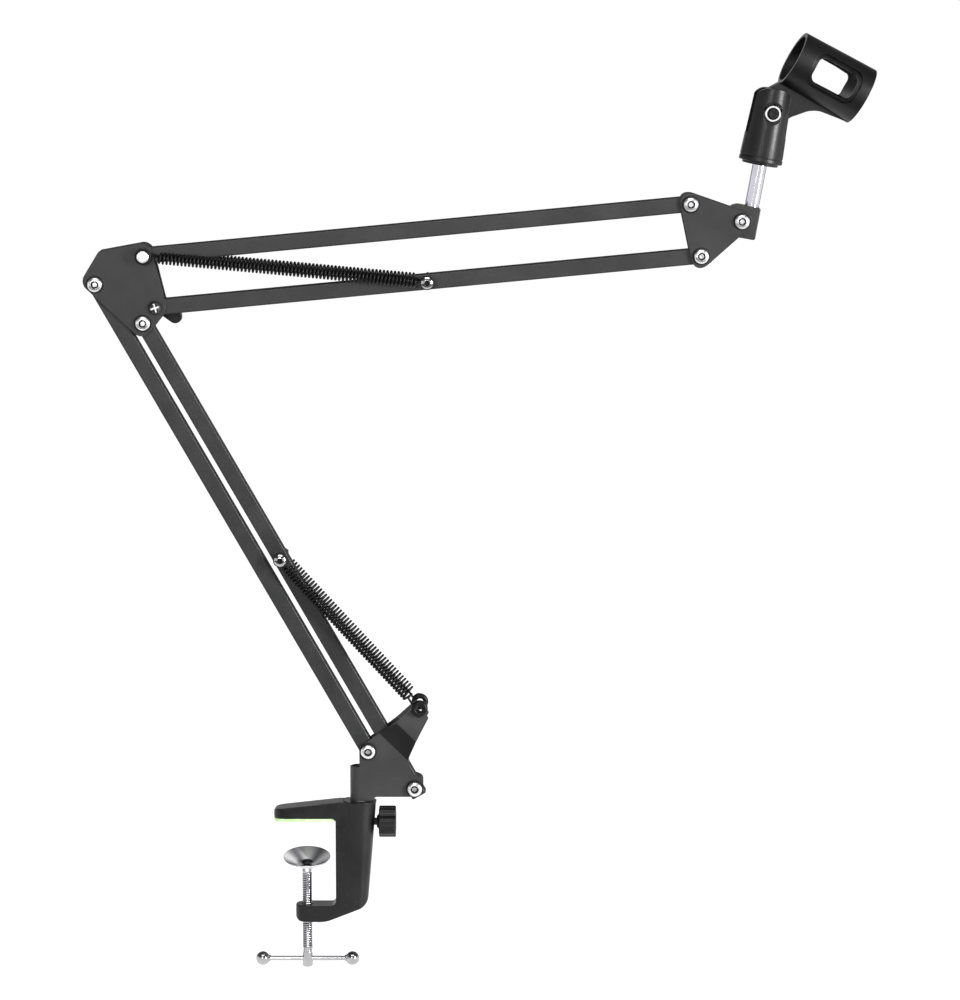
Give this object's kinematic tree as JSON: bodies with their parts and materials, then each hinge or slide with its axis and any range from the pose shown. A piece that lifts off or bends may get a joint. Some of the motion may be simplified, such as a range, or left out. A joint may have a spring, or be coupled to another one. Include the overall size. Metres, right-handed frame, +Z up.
{
  "type": "microphone boom arm",
  "caption": "Desk-clamp suspension boom arm for a microphone: sprung square-tube parallel links, elbow and head plates, C-clamp with screw, and a barrel-shaped clip.",
  "frame": {"origin": "centre of the pad face under the clamp's upper jaw, on the clamp screw's axis", "axes": "+Z up along the clamp screw, +X from the jaw's tip towards the clamp's column and the microphone clip, +Y away from the side that shows the bolt heads; the arm is drawn folded in the XZ plane"},
  "size_m": [0.4978, 0.0414, 0.6002],
  "materials": {
    "coat": "satin black powder coat",
    "casting": "satin black paint on a casting",
    "plated": "bright zinc plate",
    "chrome": "bright chrome plate",
    "plastic": "satin black moulding",
    "spring": "black spring wire",
    "brass": "turned brass",
    "pad": "pale green soft pad"
  },
  "bodies": {
    "clamp": {"clamp_frame": "casting", "jaw_pad": "pad"},
    "lock_knob": {"lock_knob": "plastic", "lock_screw": "coat"},
    "screw_tip": {"screw_tip": "plated"},
    "clamp_screw": {"clamp_screw": "chrome"},
    "tommy_bar": {"tommy_bar": "chrome", "tommy_bar_ball_left": "chrome", "tommy_bar_ball_right": "chrome"},
    "pressure_cup": {"pressure_cup": "chrome"},
    "base": {"base_bracket": "coat", "swivel_pin": "plated", "base_left_bolt": "plated", "base_left_nut": "plated", "base_right_bolt": "plated", "base_right_nut": "plated"},
    "lower_left": {"lower_tube_left": "coat"},
    "lower_right": {"lower_tube_right": "coat", "lower_spring_bolt": "coat", "lower_spring_nut": "coat", "lower_spring_spacer_front": "coat", "lower_spring_spacer_rear": "coat", "lower_spring_front": "spring", "lower_spring_rear": "spring"},
    "elbow": {"elbow_plate_front": "coat", "elbow_plate_rear": "coat", "elbow_left_bolt": "plated", "elbow_left_nut": "plated", "elbow_right_bolt": "plated", "elbow_right_nut": "plated", "spring_pin": "plated", "tension_bolt": "coat"},
    "wing_nut": {"wing_nut": "plastic"},
    "upper_top": {"upper_tube_top": "coat"},
    "upper_bottom": {"upper_tube_bottom": "coat", "upper_spring_bolt": "coat", "upper_spring_nut": "coat", "upper_spring_spacer_front": "coat", "upper_spring_spacer_rear": "coat", "upper_spring_front": "spring", "upper_spring_rear": "spring"},
    "head": {"head_plate_front": "coat", "head_plate_rear": "coat", "head_upper_bolt": "plated", "head_upper_nut": "plated", "head_lower_bolt": "plated", "head_lower_nut": "plated", "head_tilt_bolt": "plated", "head_tilt_nut": "plated"},
    "tilt": {"tilt_block": "coat", "post": "chrome"},
    "clip_yoke": {"clip_yoke": "plastic", "thread_insert": "brass", "clip_bolt": "plated", "clip_nut": "plated"},
    "clip_barrel": {"clip_barrel": "plastic"}
  },
  "joints": [
    {"name": "lock_turn", "type": "hinge", "parent": "clamp", "child": "lock_knob", "pos_m": [0.05, 0, -0.001], "axis": [1, 0, 0], "continuous": true},
    {"name": "clamp_travel", "type": "slide", "parent": "clamp", "child": "screw_tip", "axis": [0, 0, 1], "range_m": [-0.02, 0.02]},
    {"name": "screw_turn", "type": "hinge", "parent": "screw_tip", "child": "clamp_screw", "pos_m": [0, 0, -0.06], "axis": [0, 0, 1], "range_deg": [-4801, 4801]},
    {"name": "bar_slide", "type": "slide", "parent": "clamp_screw", "child": "tommy_bar", "axis": [1, 0, 0], "range_m": [-0.02, 0.02]},
    {"name": "cup_rock", "type": "hinge", "parent": "screw_tip", "child": "pressure_cup", "pos_m": [0, 0, -0.0299], "axis": [1, 0, 0], "range_deg": [-24, 2]},
    {"name": "base_swivel", "type": "hinge", "parent": "clamp", "child": "base", "pos_m": [0.0343, 0, 0.025], "axis": [0, 0, 1], "continuous": true},
    {"name": "lower_arm", "type": "hinge", "parent": "base", "child": "lower_left", "pos_m": [0.04, 0, 0.0464], "axis": [0, 1, 0], "range_deg": [-4, 60]},
    {"name": "lower_follow", "type": "hinge", "parent": "base", "child": "lower_right", "pos_m": [0.0698, 0, 0.0219], "axis": [0, 1, 0], "range_deg": [-4, 60], "deforming": ["lower_spring_front", "lower_spring_rear"]},
    {"name": "elbow_level", "type": "hinge", "parent": "lower_left", "child": "elbow", "pos_m": [-0.13041, 0, 0.34638], "axis": [0, 1, 0], "range_deg": [-60, 4]},
    {"name": "wing_turn", "type": "hinge", "parent": "elbow", "child": "wing_nut", "pos_m": [-0.09271, 0, 0.33168], "axis": [0, 1, 0], "continuous": true},
    {"name": "upper_arm", "type": "hinge", "parent": "elbow", "child": "upper_top", "pos_m": [-0.09961, 0, 0.36418], "axis": [0, 1, 0], "range_deg": [-55, 55]},
    {"name": "upper_follow", "type": "hinge", "parent": "elbow", "child": "upper_bottom", "pos_m": [-0.09271, 0, 0.33168], "axis": [0, 1, 0], "range_deg": [-55, 55], "deforming": ["upper_spring_front", "upper_spring_rear"]},
    {"name": "head_level", "type": "hinge", "parent": "upper_top", "child": "head", "pos_m": [0.24386, 0, 0.39664], "axis": [0, 1, 0], "range_deg": [-55, 55]},
    {"name": "head_tilt", "type": "hinge", "parent": "head", "child": "tilt", "pos_m": [0.27606, 0, 0.38594], "axis": [0, 1, 0], "range_deg": [-45, 95]},
    {"name": "clip_swivel", "type": "hinge", "parent": "tilt", "child": "clip_yoke", "pos_m": [0.28069, 0, 0.38511], "axis": [0.1771, 0, 0.9842], "continuous": true},
    {"name": "clip_angle", "type": "hinge", "parent": "clip_yoke", "child": "clip_barrel", "pos_m": [0.29301, 0, 0.45361], "axis": [-0.1029, 0.9945, 0.0185], "range_deg": [-60, 45]}
  ],
  "couplings": [
    {"joint": "screw_turn", "follows": "clamp_travel", "rad_per_m": 4188.8},
    {"joint": "lower_follow", "follows": "lower_arm", "ratio": 1},
    {"joint": "elbow_level", "follows": "lower_arm", "ratio": -1},
    {"joint": "upper_follow", "follows": "upper_arm", "ratio": 1},
    {"joint": "head_level", "follows": "upper_arm", "ratio": -1}
  ]
}
